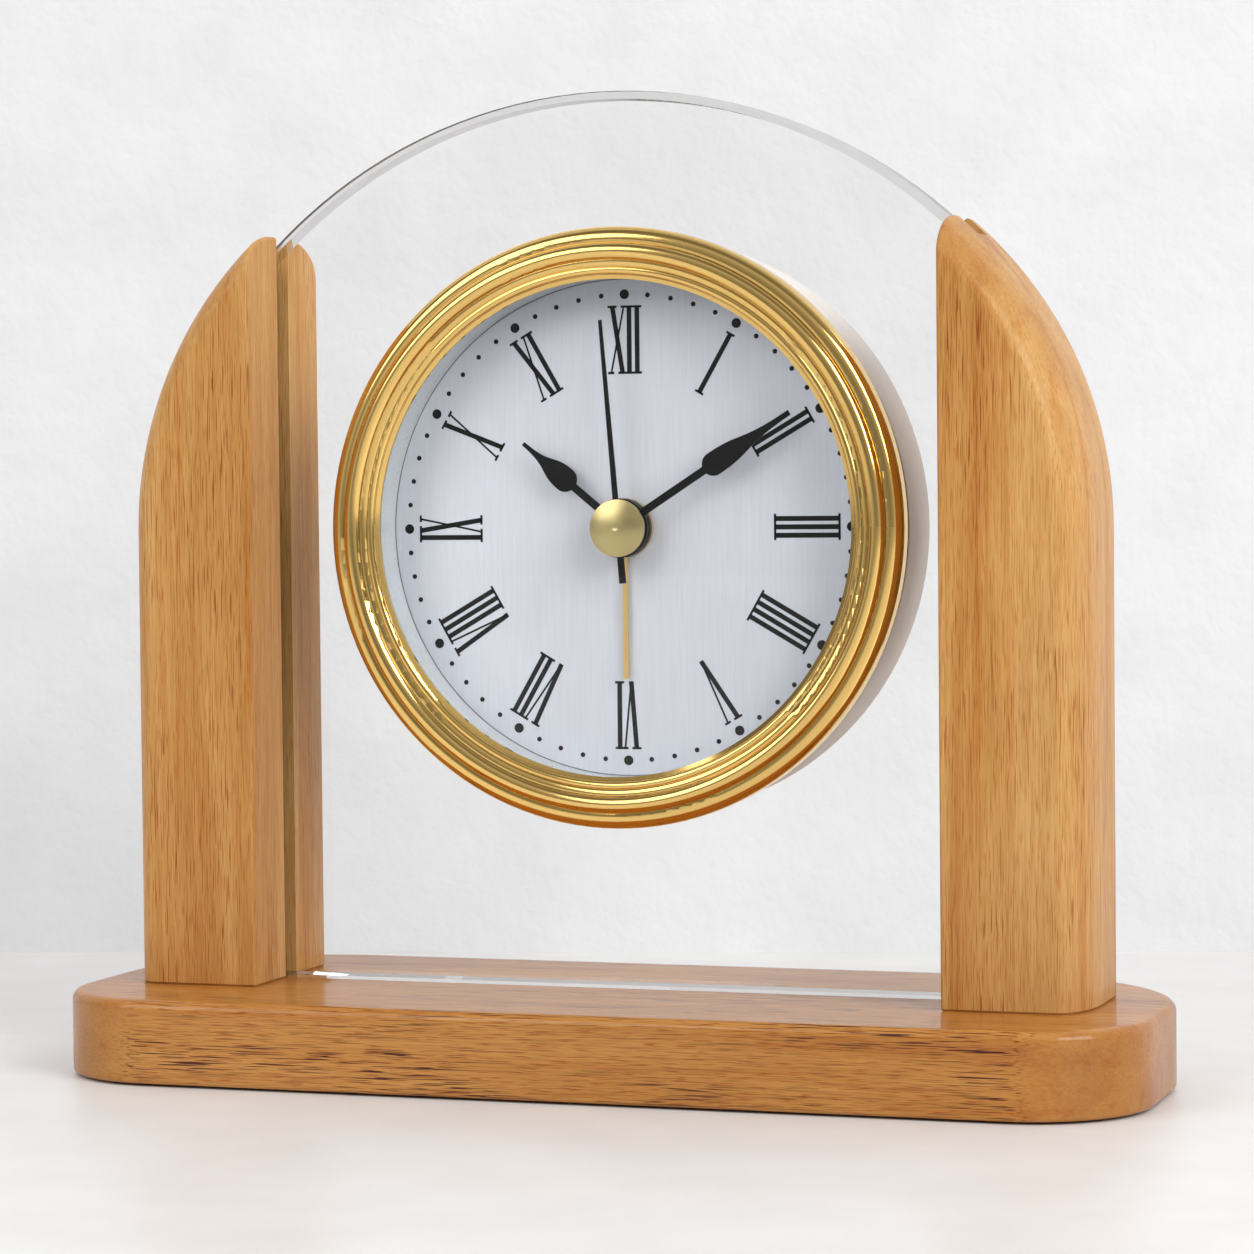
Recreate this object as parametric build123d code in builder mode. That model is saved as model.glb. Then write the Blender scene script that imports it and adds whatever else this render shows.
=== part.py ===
from build123d import *
import os
from math import cos, radians, sin, sqrt

# Wooden desk clock with a glass panel, in millimetres.
# X runs to the viewer's right, Y to the back, Z up.
# The origin is on the table under the middle of the base.

# Base and feet
felt_thickness = 0.4
felt_radius = 6.0
felt_inset_x = 19.0
felt_inset_y = 12.0
base_length = 168.0
base_depth = 64.5
base_thickness = 12.6
base_front_corner_radius = 18.0
base_back_corner_radius = 32.0
base_top_round = 1.5
base_bottom_round = 0.6

# Pillars and the arch they share with the glass; the pair stands a little left of the base's middle
pillar_pair_x = -1.35
pillar_clock_gap = 8.6
pillar_width = 21.5
pillar_depth = 29.5
pillar_y = 1.2
pillar_dome_reach = 10.5
pillar_dome_rise = 4.5
pillar_inner_round = 0.5
pillar_foot_chamfer = 0.3
apex_height = 149.0
crown_overreach = 3.7
haunch_centre_x = 15.0
haunch_below_apex = 66.2
glass_thickness = 6.0
glass_side_play = 0.2
glass_end_play = 0.3
glass_crown_bevel = 1.3
glass_sill_bevel = 0.6
glass_hole_chamfer = 0.4
groove_depth = 3.5

# Wood screws that hold the pillars
wood_screw_radius = 1.9
wood_screw_head_radius = 3.6
wood_screw_length = 34.0
wood_screw_hole_play = 0.2
wood_screw_inset = 8.5
wood_screw_spread = 14.0

# Clock insert, measured from the clock's axis
clock_x = 0.0
clock_rise = 2.0
bezel_radius = 45.4
bezel_opening_radius = 37.5
bezel_skirt_wall = 1.1
bezel_skirt_lap = 0.2
bezel_ring_thickness = 0.6
bezel_flank_height = 2.0
bezel_groove_radii = (43.0, 40.3, 39.3, 38.1)
bezel_groove_rises = (1.7, 0.2, -0.3, -0.5)
bezel_bead_heights = (0.7, 0.95, 0.12, 0.4)
bezel_lip_drop = 0.35
tube_outer_radius = 39.6
tube_wall = 1.2
tube_play = 0.4
flange_thickness = 1.2
gasket_thickness = 0.5
lens_thickness = 1.5
reflector_depth = 5.9
reflector_wall = 0.4
dial_thickness = 0.5
dial_play = 0.1
dial_hole_play = 0.4
floor_thickness = 1.5
floor_behind_glass = 0.9

# Rear case
rear_case_radius = 44.4
rear_case_wall = 1.6
rear_case_depth = 14.2
rear_case_back = 1.5
rear_case_round = 2.2
case_post_radius = 2.6
case_post_circle = 34.5
case_post_angles = (40, 140, 200, 340)
case_screw_radius = 1.1
case_screw_head_radius = 2.2
case_screw_head_height = 1.2
case_screw_length = 9.0
case_screw_play = 0.2

# Running fits
running_play = 0.05
shaft_hole_play = 0.1
layer_gap = 0.35

# Coaxial pipes, from the middle outwards
second_arbor_radius = 0.5
pipe_wall = 0.4
hour_pipe_wall = 0.6
alarm_pipe_wall = 0.65

# Hands
hub_radius = 4.5
second_hub_radius = 4.2
hub_thickness = 0.75
blade_thickness = 0.3
blade_swell = 0.45
blade_draw = 0.35
cap_radius = 4.35
cap_rim = 0.4
cap_height = 1.2
dial_to_alarm_hub = 0.6
alarm_hand_length = 23.0
alarm_hand_width = 0.8
alarm_hand_angle = 180.0
hour_hand_length = 20.4
hour_bulb_at = 11.7
hour_bulb_radius = 1.9
hour_stem_width = 1.2
hour_tip_width = 0.6
hour_hand_angle = 309.5
minute_hand_length = 31.9
minute_bulb_at = 17.8
minute_bulb_radius = 1.8
minute_stem_width = 1.2
minute_tip_width = 0.8
minute_hand_angle = 57.5
second_hand_length = 31.6
second_hand_tail = 8.4
second_tail_width = 1.05
second_tip_width = 0.5
second_hand_angle = 355.3

# Tooth form, as shares of the module and of the pitch
tooth_tip_height = 0.8
tooth_root_depth = 1.1
tooth_root_share = 0.5
tooth_tip_share = 0.2

# Gear layers behind the case floor
wheel_thickness = 0.8
thin_wheel_thickness = 0.6
pinion_overhang = 0.1
floor_to_alarm_wheel = 0.3
wheel_spacing = 0.4
motion_pinion_gap = 0.6
centre_wheel_gap = 0.6
third_wheel_gap = 0.8
second_wheel_gap = 0.6
step_wheel_gap = 0.6
bridge_gap = 0.6
bridge_thickness = 1.0

# Set train
cannon_teeth = 12
motion_wheel_teeth = 36
motion_pinion_teeth = 10
hour_wheel_teeth = 40
motion_distance = 10.0
motion_angle = 20.0
motion_arbor_radius = 1.0
alarm_wheel_teeth = 40
alarm_pinion_teeth = 16
alarm_module = 0.4
alarm_angle = 250.0
alarm_arbor_radius = 1.0

# Run train
second_pinion_teeth = 8
third_wheel_teeth = 60
third_pinion_teeth = 8
centre_wheel_teeth = 64
third_distance = 9.0
third_angle = 150.0
second_wheel_teeth = 32
step_pinion_teeth = 8
step_wheel_teeth = 60
rotor_pinion_teeth = 8
step_distance = 9.0
step_angle = 90.0
rotor_module = 0.2
fine_arbor_radius = 0.4
rotor_magnet_radius = 1.3
rotor_magnet_length = 1.8
clutch_radius = 3.0
clutch_thickness = 0.3

# Bridge
bridge_left = -18.0
bridge_right = 18.0
bridge_bottom = -13.5
bridge_top = 20.0
bridge_corner_radius = 4.0
bridge_posts = ((-15.5, -6.0), (15.0, -9.0), (14.5, 16.5))
bridge_post_radius = 2.0
bridge_screw_radius = 0.9
bridge_screw_head_radius = 1.8
bridge_screw_head_height = 0.9
bridge_screw_length = 5.0

# Motor
stator_thickness = 0.8
stator_half_width = 11.0
stator_pole_height = 2.5
stator_arm_width = 2.6
stator_top = 25.0
stator_bore_play = 0.4
stator_post_radius = 1.3
stator_post_x = 8.5
coil_radius = 3.2
coil_v = 22.3
core_height = 1.4

# Circuit board
board_centre = (-25.0, 4.5)
board_width = 12.0
board_height = 26.0
board_thickness = 1.0
board_standoff = 3.3
board_post_radius = 1.3
board_post_inset = 2.0
crystal_radius = 1.0
crystal_length = 6.0

# Battery
battery_diameter = 10.5
battery_length = 44.5
battery_nub_length = 0.8
battery_nub_radius = 1.9
battery_v = -25.0
battery_floor_gap = 1.25
contact_thickness = 0.5
contact_width = 8.0
contact_height = 10.0
saddle_width = 3.0
saddle_height = 3.2
saddle_x = 14.0
door_side_play = 1.0
door_height_play = 0.2
door_ledge = 0.7
door_gap = 0.15
door_thickness = 0.75
door_grip_width = 12.0
door_grip_height = 1.2
door_grip_depth = 0.8

# Buzzer, switch and knobs
buzzer_centre = (24.0, 10.0)
buzzer_radius = 9.0
buzzer_thickness = 1.0
sound_hole_radius = 0.8
sound_hole_circle = 4.0
sound_hole_count = 6
switch_centre = (-24.0, 12.0)
switch_travel = 4.0
switch_stem_width = 3.0
switch_stem_height = 4.0
switch_plate_margin = 2.0
switch_plate_thickness = 1.0
switch_stem_out = 1.6
switch_play = 0.15
knob_radius = 5.0
knob_height = 4.0
knob_gap = 0.5
knob_grooves = 18
knob_groove_radius = 0.5

# Derived sizes
base_top = felt_thickness + base_thickness
pillar_inner_x = bezel_radius + pillar_clock_gap
pillar_outer_x = pillar_inner_x + pillar_width
pillar_front = pillar_y - pillar_depth / 2
pillar_back = pillar_y + pillar_depth / 2
wood_screw_x = pillar_outer_x - wood_screw_inset
crown_radius = pillar_outer_x + crown_overreach
crown_centre_z = apex_height - crown_radius
haunch_z = apex_height - haunch_below_apex
clock_height = (base_top + apex_height) / 2 + clock_rise
glass_front = pillar_y - glass_thickness / 2
groove_width = glass_thickness + 2 * glass_side_play
glass_half_width = pillar_inner_x + groove_depth - glass_end_play
glass_shoulder_z = crown_centre_z + sqrt(crown_radius ** 2 - glass_half_width ** 2)

# Depths along the clock's axis, counted from the front face of the glass towards the back
flange_back = -gasket_thickness
flange_front = flange_back - flange_thickness
floor_back = glass_thickness + floor_behind_glass
floor_front = floor_back - floor_thickness
dial_front = floor_front - dial_thickness
reflector_front = dial_front - reflector_depth
lens_front = reflector_front - lens_thickness
tube_inner_radius = tube_outer_radius - tube_wall
insert_radius = tube_inner_radius - dial_play
bezel_back = flange_back + bezel_skirt_lap
bezel_inside = lens_front + bezel_ring_thickness
flange_radius = bezel_radius - bezel_skirt_wall
hole_radius = tube_outer_radius + tube_play
case_front = glass_thickness + gasket_thickness
case_back = case_front + rear_case_depth
case_inside = case_back - rear_case_back
case_inner_radius = rear_case_radius - rear_case_wall

# Radii of the coaxial pipes
minute_pipe_inner = second_arbor_radius + running_play
minute_pipe_outer = minute_pipe_inner + pipe_wall
hour_pipe_inner = minute_pipe_outer + running_play
hour_pipe_outer = hour_pipe_inner + hour_pipe_wall
alarm_pipe_inner = hour_pipe_outer + running_play
alarm_pipe_outer = alarm_pipe_inner + alarm_pipe_wall
bush_radius = alarm_pipe_outer + running_play
dial_hole_radius = alarm_pipe_outer + dial_hole_play

# Fronts of the hand hubs
alarm_hub_front = dial_front - dial_to_alarm_hub - hub_thickness
hour_hub_front = alarm_hub_front - layer_gap - hub_thickness
minute_hub_front = hour_hub_front - layer_gap - hub_thickness
second_hand_back = minute_hub_front - layer_gap
second_hand_front = second_hand_back - blade_thickness
cap_front = second_hand_front - cap_height

# Fronts of the gear layers
alarm_wheel_front = floor_back + floor_to_alarm_wheel
hour_wheel_front = alarm_wheel_front + wheel_thickness + wheel_spacing
motion_wheel_front = hour_wheel_front + wheel_thickness + motion_pinion_gap
cannon_front = motion_wheel_front - 2 * pinion_overhang
cannon_back = motion_wheel_front + wheel_thickness + 2 * pinion_overhang
centre_wheel_front = motion_wheel_front + wheel_thickness + centre_wheel_gap
third_wheel_front = centre_wheel_front + wheel_thickness + third_wheel_gap
second_wheel_front = third_wheel_front + thin_wheel_thickness + second_wheel_gap
step_wheel_front = second_wheel_front + thin_wheel_thickness + step_wheel_gap
bridge_front = step_wheel_front + thin_wheel_thickness + bridge_gap
bridge_back = bridge_front + bridge_thickness

# Modules that follow from the centre distances
cannon_module = 2 * motion_distance / (cannon_teeth + motion_wheel_teeth)
hour_module = 2 * motion_distance / (motion_pinion_teeth + hour_wheel_teeth)
centre_module = 2 * third_distance / (third_pinion_teeth + centre_wheel_teeth)
third_module = 2 * third_distance / (second_pinion_teeth + third_wheel_teeth)
second_module = 2 * step_distance / (step_pinion_teeth + second_wheel_teeth)
alarm_distance = alarm_module * (alarm_wheel_teeth + alarm_pinion_teeth) / 2
rotor_distance = rotor_module * (step_wheel_teeth + rotor_pinion_teeth) / 2

os.makedirs("parts", exist_ok=True)


def polar(distance, angle):
    return (distance * cos(radians(angle)), distance * sin(radians(angle)))


middle = (0.0, 0.0)
motion_centre = polar(motion_distance, motion_angle)
alarm_centre = polar(alarm_distance, alarm_angle)
setting_arbors = ((motion_centre, motion_arbor_radius), (alarm_centre, alarm_arbor_radius))
third_centre = polar(third_distance, third_angle)
step_centre = polar(step_distance, step_angle)
rotor_centre = (step_centre[0], step_centre[1] + rotor_distance)
case_post_centres = [polar(case_post_circle, angle) for angle in case_post_angles]


def save(piece, name):
    piece.part.label = name
    export_step(piece.part, f"parts/{name}.step")


def face_plane(depth):
    # Plane across the clock's axis, seen from the front
    return Plane(origin=(clock_x, glass_front + depth, clock_height), x_dir=(1, 0, 0), z_dir=(0, -1, 0))


def place(u, v, depth):
    # Point given by its place on the dial and its depth
    return (clock_x + u, glass_front + depth, clock_height + v)


section_plane = Plane(origin=(clock_x, glass_front, clock_height), x_dir=(1, 0, 0), z_dir=(0, 0, 1))
clock_axis = Axis((clock_x, 0, clock_height), (0, 1, 0))


def disc(radius, front, back, centre=middle, mode=Mode.ADD):
    with BuildSketch(face_plane(back)) as outline:
        with Locations(centre):
            Circle(radius)
    extrude(outline.sketch, amount=back - front, mode=mode)


def ring(inner, outer, front, back, centre=middle):
    with BuildSketch(face_plane(back)) as outline:
        with Locations(centre):
            Circle(outer)
            Circle(inner, mode=Mode.SUBTRACT)
    extrude(outline.sketch, amount=back - front)


def slab(width, height, front, back, centre=middle, mode=Mode.ADD):
    with BuildSketch(face_plane(back)) as outline:
        with Locations(centre):
            Rectangle(width, height)
    extrude(outline.sketch, amount=back - front, mode=mode)


def tooth_outline(teeth, module, phase, centre):
    pitch = 360 / teeth
    root = module * (teeth / 2 - tooth_root_depth)
    tip = module * (teeth / 2 + tooth_tip_height)
    flank = (
        (root, -tooth_root_share / 2),
        (tip, -tooth_tip_share / 2),
        (tip, tooth_tip_share / 2),
        (root, tooth_root_share / 2),
    )
    corners = []
    for number in range(teeth):
        for radius, share in flank:
            corner = polar(radius, phase + (number + share) * pitch)
            corners.append((centre[0] + corner[0], centre[1] + corner[1]))
    return corners


def gear(teeth, module, phase, front, back, centre=middle):
    with BuildSketch(face_plane(back)) as outline:
        with BuildLine():
            Polyline(*tooth_outline(teeth, module, phase, centre), close=True)
        make_face()
    extrude(outline.sketch, amount=back - front)


def mesh_phase(teeth_a, phase_a, teeth_b, direction):
    # Phase that sets the second gear's gaps on the first gear's teeth
    return direction + 180 + teeth_a / teeth_b * (direction - phase_a) + 180 / teeth_b


# Felt pads under the base
with BuildPart() as felt_pads:
    with GridLocations(base_length - 2 * felt_inset_x, base_depth - 2 * felt_inset_y, 2, 2):
        Cylinder(felt_radius, felt_thickness, align=(Align.CENTER, Align.CENTER, Align.MIN))
save(felt_pads, "felt_pads")

# Places of the wood screws, two under each pillar
screw_places = []
for screw_side in (-1, 1):
    for screw_row in (-0.5, 0.5):
        screw_x = pillar_pair_x + screw_side * wood_screw_x
        screw_spot = (screw_x, pillar_y + screw_row * wood_screw_spread, felt_thickness)
        screw_places.append(Location(screw_spot, (180, 0, 0)))

# Base board with countersunk holes from below
with BuildPart() as base:
    with BuildSketch(Plane.XY.offset(felt_thickness)) as board:
        Rectangle(base_length, base_depth)
        fillet(board.vertices().group_by(Axis.Y)[-1], base_back_corner_radius)
        fillet(board.vertices().group_by(Axis.Y)[0], base_front_corner_radius)
    extrude(amount=base_thickness)
    fillet(base.faces().sort_by(Axis.Z)[-1].edges(), base_top_round)
    fillet(base.faces().sort_by(Axis.Z)[0].edges(), base_bottom_round)
    with Locations(*screw_places):
        CounterSinkHole(
            wood_screw_radius + wood_screw_hole_play,
            wood_screw_head_radius,
            depth=base_thickness,
            counter_sink_angle=90,
        )
save(base, "base")

# Wood screws, heads flush with the underside
wood_screw_head = wood_screw_head_radius - wood_screw_radius
with BuildPart() as pillar_screws:
    with Locations(*screw_places):
        with Locations((0, 0, -wood_screw_head / 2)):
            Cone(wood_screw_radius, wood_screw_head_radius, wood_screw_head)
        with Locations((0, 0, -wood_screw_length / 2)):
            Cylinder(wood_screw_radius, wood_screw_length)
save(pillar_screws, "pillar_screws")


# Right pillar: a domed section, straight up to the haunch and then turned round the haunch's centre
dome_x = pillar_outer_x - pillar_dome_rise
dome_front = pillar_front + pillar_dome_reach
dome_back = pillar_back - pillar_dome_reach
haunch_axis = Axis((pillar_pair_x + haunch_centre_x, pillar_y, haunch_z), (0, -1, 0))
pillar_inner_spot = (pillar_pair_x + pillar_inner_x, pillar_y, haunch_z)
with BuildPart() as pillar_right:
    with BuildSketch(Plane((pillar_pair_x, 0, haunch_z))) as pillar_section:
        with BuildLine():
            front_line = Line((pillar_inner_x, pillar_front), (dome_x, pillar_front))
            EllipticalCenterArc((dome_x, dome_front), pillar_dome_rise, pillar_dome_reach, 270, arc_size=90)
            Line((pillar_outer_x, dome_front), (pillar_outer_x, dome_back))
            EllipticalCenterArc((dome_x, dome_back), pillar_dome_rise, pillar_dome_reach, 0, arc_size=90)
            back_line = Line((dome_x, pillar_back), (pillar_inner_x, pillar_back))
            Line(back_line @ 1, front_line @ 0)
        make_face()
    extrude(pillar_section.sketch, amount=base_top - haunch_z)
    revolve(pillar_section.sketch, axis=haunch_axis, revolution_arc=90)
    with Locations(pillar_inner_spot):
        Box(
            pillar_inner_x,
            2 * pillar_depth,
            2 * apex_height,
            align=(Align.MAX, Align.CENTER, Align.CENTER),
            mode=Mode.SUBTRACT,
        )
    inner_face = pillar_right.faces().filter_by(Axis.X).sort_by(Axis.X)[0]
    fillet(inner_face.edges().sort_by(Axis.Z)[1:], pillar_inner_round)
    chamfer(pillar_right.faces().sort_by(Axis.Z)[0].edges(), pillar_foot_chamfer)
    with Locations(pillar_inner_spot):
        Box(2 * groove_depth, groove_width, 2 * apex_height, mode=Mode.SUBTRACT)
    with Locations(*[spot for spot in screw_places if spot.position.X > pillar_pair_x]):
        with Locations((0, 0, -wood_screw_length / 2)):
            Cylinder(wood_screw_radius, wood_screw_length, mode=Mode.SUBTRACT)
save(pillar_right, "pillar_right")

# Left pillar, mirrored from the right one
with BuildPart() as pillar_left:
    mirror(pillar_right.part, about=Plane.YZ.offset(pillar_pair_x))
save(pillar_left, "pillar_left")

# Glass panel with its arched top and the hole for the clock
with BuildPart() as glass_panel:
    with BuildSketch(Plane(origin=(pillar_pair_x, pillar_y, 0), x_dir=(1, 0, 0), z_dir=(0, -1, 0))):
        with BuildLine():
            sill = Line((-glass_half_width, base_top), (glass_half_width, base_top))
            right_side = Line(sill @ 1, (glass_half_width, glass_shoulder_z))
            crown_top = (0, apex_height)
            crown = ThreePointArc(right_side @ 1, crown_top, (-glass_half_width, glass_shoulder_z))
            Line(crown @ 1, sill @ 0)
        make_face()
    extrude(amount=glass_thickness / 2, both=True)
    chamfer(glass_panel.edges().filter_by(GeomType.CIRCLE), glass_crown_bevel)
    sill_edges = glass_panel.faces().sort_by(Axis.Z)[0].edges().filter_by(Axis.X)
    chamfer(sill_edges, glass_sill_bevel)
    disc(hole_radius, 0, glass_thickness, mode=Mode.SUBTRACT)
    hole_edges = glass_panel.faces().filter_by(GeomType.CYLINDER).sort_by(SortBy.RADIUS)[0].edges()
    chamfer(hole_edges.filter_by(GeomType.CIRCLE), glass_hole_chamfer)
save(glass_panel, "glass_panel")

# Gaskets on both faces of the glass
with BuildPart() as front_gasket:
    ring(hole_radius + glass_hole_chamfer, flange_radius - glass_hole_chamfer, flange_back, 0)
save(front_gasket, "front_gasket")
with BuildPart() as rear_gasket:
    ring(hole_radius + glass_hole_chamfer, rear_case_radius, glass_thickness, case_front)
save(rear_gasket, "rear_gasket")

# Front case: flange, tube, floor and the posts behind it
battery_centre_depth = floor_back + battery_floor_gap + battery_diameter / 2
battery_spot = place(0, battery_v, battery_centre_depth)
board_front = floor_back + board_standoff
board_posts = []
for board_side in (-1, 1):
    for board_row in (-1, 1):
        post_u = board_centre[0] + board_side * (board_width / 2 - board_post_inset)
        post_v = board_centre[1] + board_row * (board_height / 2 - board_post_inset)
        board_posts.append((post_u, post_v))
stator_back = third_wheel_front - wheel_spacing
stator_front = stator_back - stator_thickness
stator_posts = [(side * stator_post_x, rotor_centre[1]) for side in (-1, 1)]
with BuildPart() as front_case:
    ring(tube_inner_radius, tube_outer_radius, lens_front, floor_back)
    ring(tube_inner_radius, flange_radius, flange_front, flange_back)
    disc(tube_outer_radius, floor_front, floor_back)
    for post in case_post_centres:
        disc(case_post_radius, floor_back, case_inside, centre=post)
    for post in bridge_posts:
        disc(bridge_post_radius, floor_back, bridge_front, centre=post)
    for post in stator_posts:
        disc(stator_post_radius, floor_back, stator_front, centre=post)
    for post in board_posts:
        disc(board_post_radius, floor_back, board_front, centre=post)
    for saddle_side in (-1, 1):
        saddle_spot = (saddle_side * saddle_x, battery_v)
        slab(saddle_width, battery_diameter, floor_back, floor_back + saddle_height, centre=saddle_spot)
    with Locations(battery_spot):
        Cylinder(battery_diameter / 2, battery_length, rotation=(0, 90, 0), mode=Mode.SUBTRACT)
    disc(bush_radius, floor_front, floor_back, mode=Mode.SUBTRACT)
    for pivot in (third_centre, step_centre, rotor_centre):
        disc(fine_arbor_radius + running_play, floor_front, floor_back, centre=pivot, mode=Mode.SUBTRACT)
    for knob_centre, arbor_radius in setting_arbors:
        bearing_radius = arbor_radius + running_play
        disc(bearing_radius, floor_front, floor_back, centre=knob_centre, mode=Mode.SUBTRACT)
    for post in case_post_centres:
        screw_end = case_back - case_screw_length
        disc(case_screw_radius, screw_end, case_inside, centre=post, mode=Mode.SUBTRACT)
    for post in bridge_posts:
        screw_end = bridge_back - bridge_screw_length
        disc(bridge_screw_radius, screw_end, bridge_front, centre=post, mode=Mode.SUBTRACT)
save(front_case, "front_case")

# Bezel: a rolled edge and beads that step up towards the opening
with BuildPart() as bezel:
    with BuildSketch(section_plane):
        with BuildLine():
            seat = Polyline(
                (bezel_opening_radius, lens_front),
                (tube_outer_radius, lens_front),
                (tube_outer_radius, bezel_inside),
                (flange_radius, bezel_inside),
                (flange_radius, bezel_back),
                (bezel_radius, bezel_back),
                (bezel_radius, bezel_back - bezel_flank_height),
            )
            start = seat @ 1
            beads = zip(bezel_groove_radii, bezel_groove_rises, bezel_bead_heights)
            for groove_radius, groove_rise, bead_height in beads:
                end = Vector(groove_radius, start.Y - groove_rise)
                chord = end - start
                bulge = Vector(chord.Y, -chord.X).normalized() * bead_height
                crest = (start + end) / 2 - bulge * (1 if bulge.Y > 0 else -1)
                bead = ThreePointArc(start, crest, end)
                start = bead @ 1
            lip = Line(start, (bezel_opening_radius, start.Y + bezel_lip_drop))
            Line(lip @ 1, seat @ 0)
        make_face()
    revolve(axis=clock_axis)
save(bezel, "bezel")

# Lens, reflector ring and dial, stacked inside the tube
with BuildPart() as lens:
    disc(insert_radius, lens_front, reflector_front)
save(lens, "lens")
with BuildPart() as reflector_ring:
    ring(insert_radius - reflector_wall, insert_radius, reflector_front, dial_front)
save(reflector_ring, "reflector_ring")
with BuildPart() as dial:
    ring(dial_hole_radius, insert_radius, dial_front, floor_front)
save(dial, "dial")

# Rear case with the openings in its back
door_width = battery_length + 2 * door_side_play + 2 * door_ledge
door_height = battery_diameter + 2 * door_height_play + 2 * door_ledge
door_front = case_back - door_thickness
with BuildPart() as rear_case:
    disc(rear_case_radius, case_front, case_back)
    fillet(rear_case.edges().sort_by(Axis.Y)[-1], rear_case_round)
    disc(case_inner_radius, case_front, case_inside, mode=Mode.SUBTRACT)
    slab(
        door_width + 2 * door_gap,
        door_height + 2 * door_gap,
        door_front,
        case_back,
        centre=(0, battery_v),
        mode=Mode.SUBTRACT,
    )
    slab(
        door_width - 2 * door_ledge,
        door_height - 2 * door_ledge,
        case_inside,
        door_front,
        centre=(0, battery_v),
        mode=Mode.SUBTRACT,
    )
    for post in case_post_centres:
        disc(case_screw_radius + case_screw_play, case_inside, case_back, centre=post, mode=Mode.SUBTRACT)
    for knob_centre, arbor_radius in setting_arbors:
        shaft_radius = arbor_radius + shaft_hole_play
        disc(shaft_radius, case_inside, case_back, centre=knob_centre, mode=Mode.SUBTRACT)
    disc(sound_hole_radius, case_inside, case_back, centre=buzzer_centre, mode=Mode.SUBTRACT)
    for number in range(sound_hole_count):
        hole_offset = polar(sound_hole_circle, number * 360 / sound_hole_count)
        hole_centre = (buzzer_centre[0] + hole_offset[0], buzzer_centre[1] + hole_offset[1])
        disc(sound_hole_radius, case_inside, case_back, centre=hole_centre, mode=Mode.SUBTRACT)
    slab(
        switch_stem_width + switch_travel + 2 * switch_play,
        switch_stem_height + 2 * switch_play,
        case_inside,
        case_back,
        centre=switch_centre,
        mode=Mode.SUBTRACT,
    )
save(rear_case, "rear_case")

# Screws that clamp the two cases on the glass
with BuildPart() as case_screws:
    for post in case_post_centres:
        disc(case_screw_radius, case_back - case_screw_length, case_back, centre=post)
        disc(case_screw_head_radius, case_back, case_back + case_screw_head_height, centre=post)
    fillet(case_screws.faces().sort_by(Axis.Y)[-len(case_post_angles):].edges(), case_screw_head_height / 2)
save(case_screws, "case_screws")

# Battery, its contacts and its cover
with BuildPart() as battery:
    can_length = battery_length - battery_nub_length
    with Locations((battery_spot[0] - battery_nub_length / 2, battery_spot[1], battery_spot[2])):
        Cylinder(battery_diameter / 2, can_length, rotation=(0, 90, 0))
    nub_x = battery_length / 2 - battery_nub_length / 2
    with Locations((battery_spot[0] + nub_x, battery_spot[1], battery_spot[2])):
        Cylinder(battery_nub_radius, battery_nub_length, rotation=(0, 90, 0))
save(battery, "battery")
with BuildPart() as battery_contacts:
    for contact_side in (-1, 1):
        contact_spot = (contact_side * (battery_length + contact_thickness) / 2, battery_v)
        slab(contact_thickness, contact_width, floor_back, floor_back + contact_height, centre=contact_spot)
save(battery_contacts, "battery_contacts")
with BuildPart() as battery_cover:
    slab(door_width, door_height, door_front, case_back, centre=(0, battery_v))
    for row in (-1, 0, 1):
        grip_spot = (0, battery_v + 2 * row * door_grip_height)
        slab(door_grip_width, door_grip_height, case_back, case_back + door_grip_depth, centre=grip_spot)
save(battery_cover, "battery_cover")

# Buzzer behind the sound holes
with BuildPart() as buzzer:
    disc(buzzer_radius, case_inside - buzzer_thickness, case_inside, centre=buzzer_centre)
save(buzzer, "buzzer")

# Alarm switch: a plate inside the case and a stem through the slot
with BuildPart() as alarm_switch:
    slab(
        switch_stem_width + switch_travel + 2 * switch_plate_margin,
        switch_stem_height + 2 * switch_plate_margin,
        case_inside - running_play - switch_plate_thickness,
        case_inside - running_play,
        centre=(switch_centre[0] - switch_travel / 2, switch_centre[1]),
    )
    slab(
        switch_stem_width,
        switch_stem_height,
        case_inside - running_play,
        case_back + switch_stem_out,
        centre=(switch_centre[0] - switch_travel / 2, switch_centre[1]),
    )
save(alarm_switch, "alarm_switch")

# Gear bridge on its three posts
bridge_centre = ((bridge_left + bridge_right) / 2, (bridge_bottom + bridge_top) / 2)
with BuildPart() as gear_bridge:
    with BuildSketch(face_plane(bridge_back)):
        with Locations(bridge_centre):
            RectangleRounded(bridge_right - bridge_left, bridge_top - bridge_bottom, bridge_corner_radius)
        with Locations(*bridge_posts):
            Circle(bridge_screw_radius + case_screw_play, mode=Mode.SUBTRACT)
        Circle(second_arbor_radius + running_play, mode=Mode.SUBTRACT)
        with Locations(third_centre, step_centre, rotor_centre):
            Circle(fine_arbor_radius + running_play, mode=Mode.SUBTRACT)
        with Locations(motion_centre):
            Circle(motion_arbor_radius + running_play, mode=Mode.SUBTRACT)
        with Locations(alarm_centre):
            Circle(alarm_arbor_radius + running_play, mode=Mode.SUBTRACT)
    extrude(amount=bridge_thickness)
save(gear_bridge, "gear_bridge")
with BuildPart() as bridge_screws:
    for post in bridge_posts:
        disc(bridge_screw_radius, bridge_back - bridge_screw_length, bridge_back, centre=post)
        disc(bridge_screw_head_radius, bridge_back, bridge_back + bridge_screw_head_height, centre=post)
save(bridge_screws, "bridge_screws")

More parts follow.
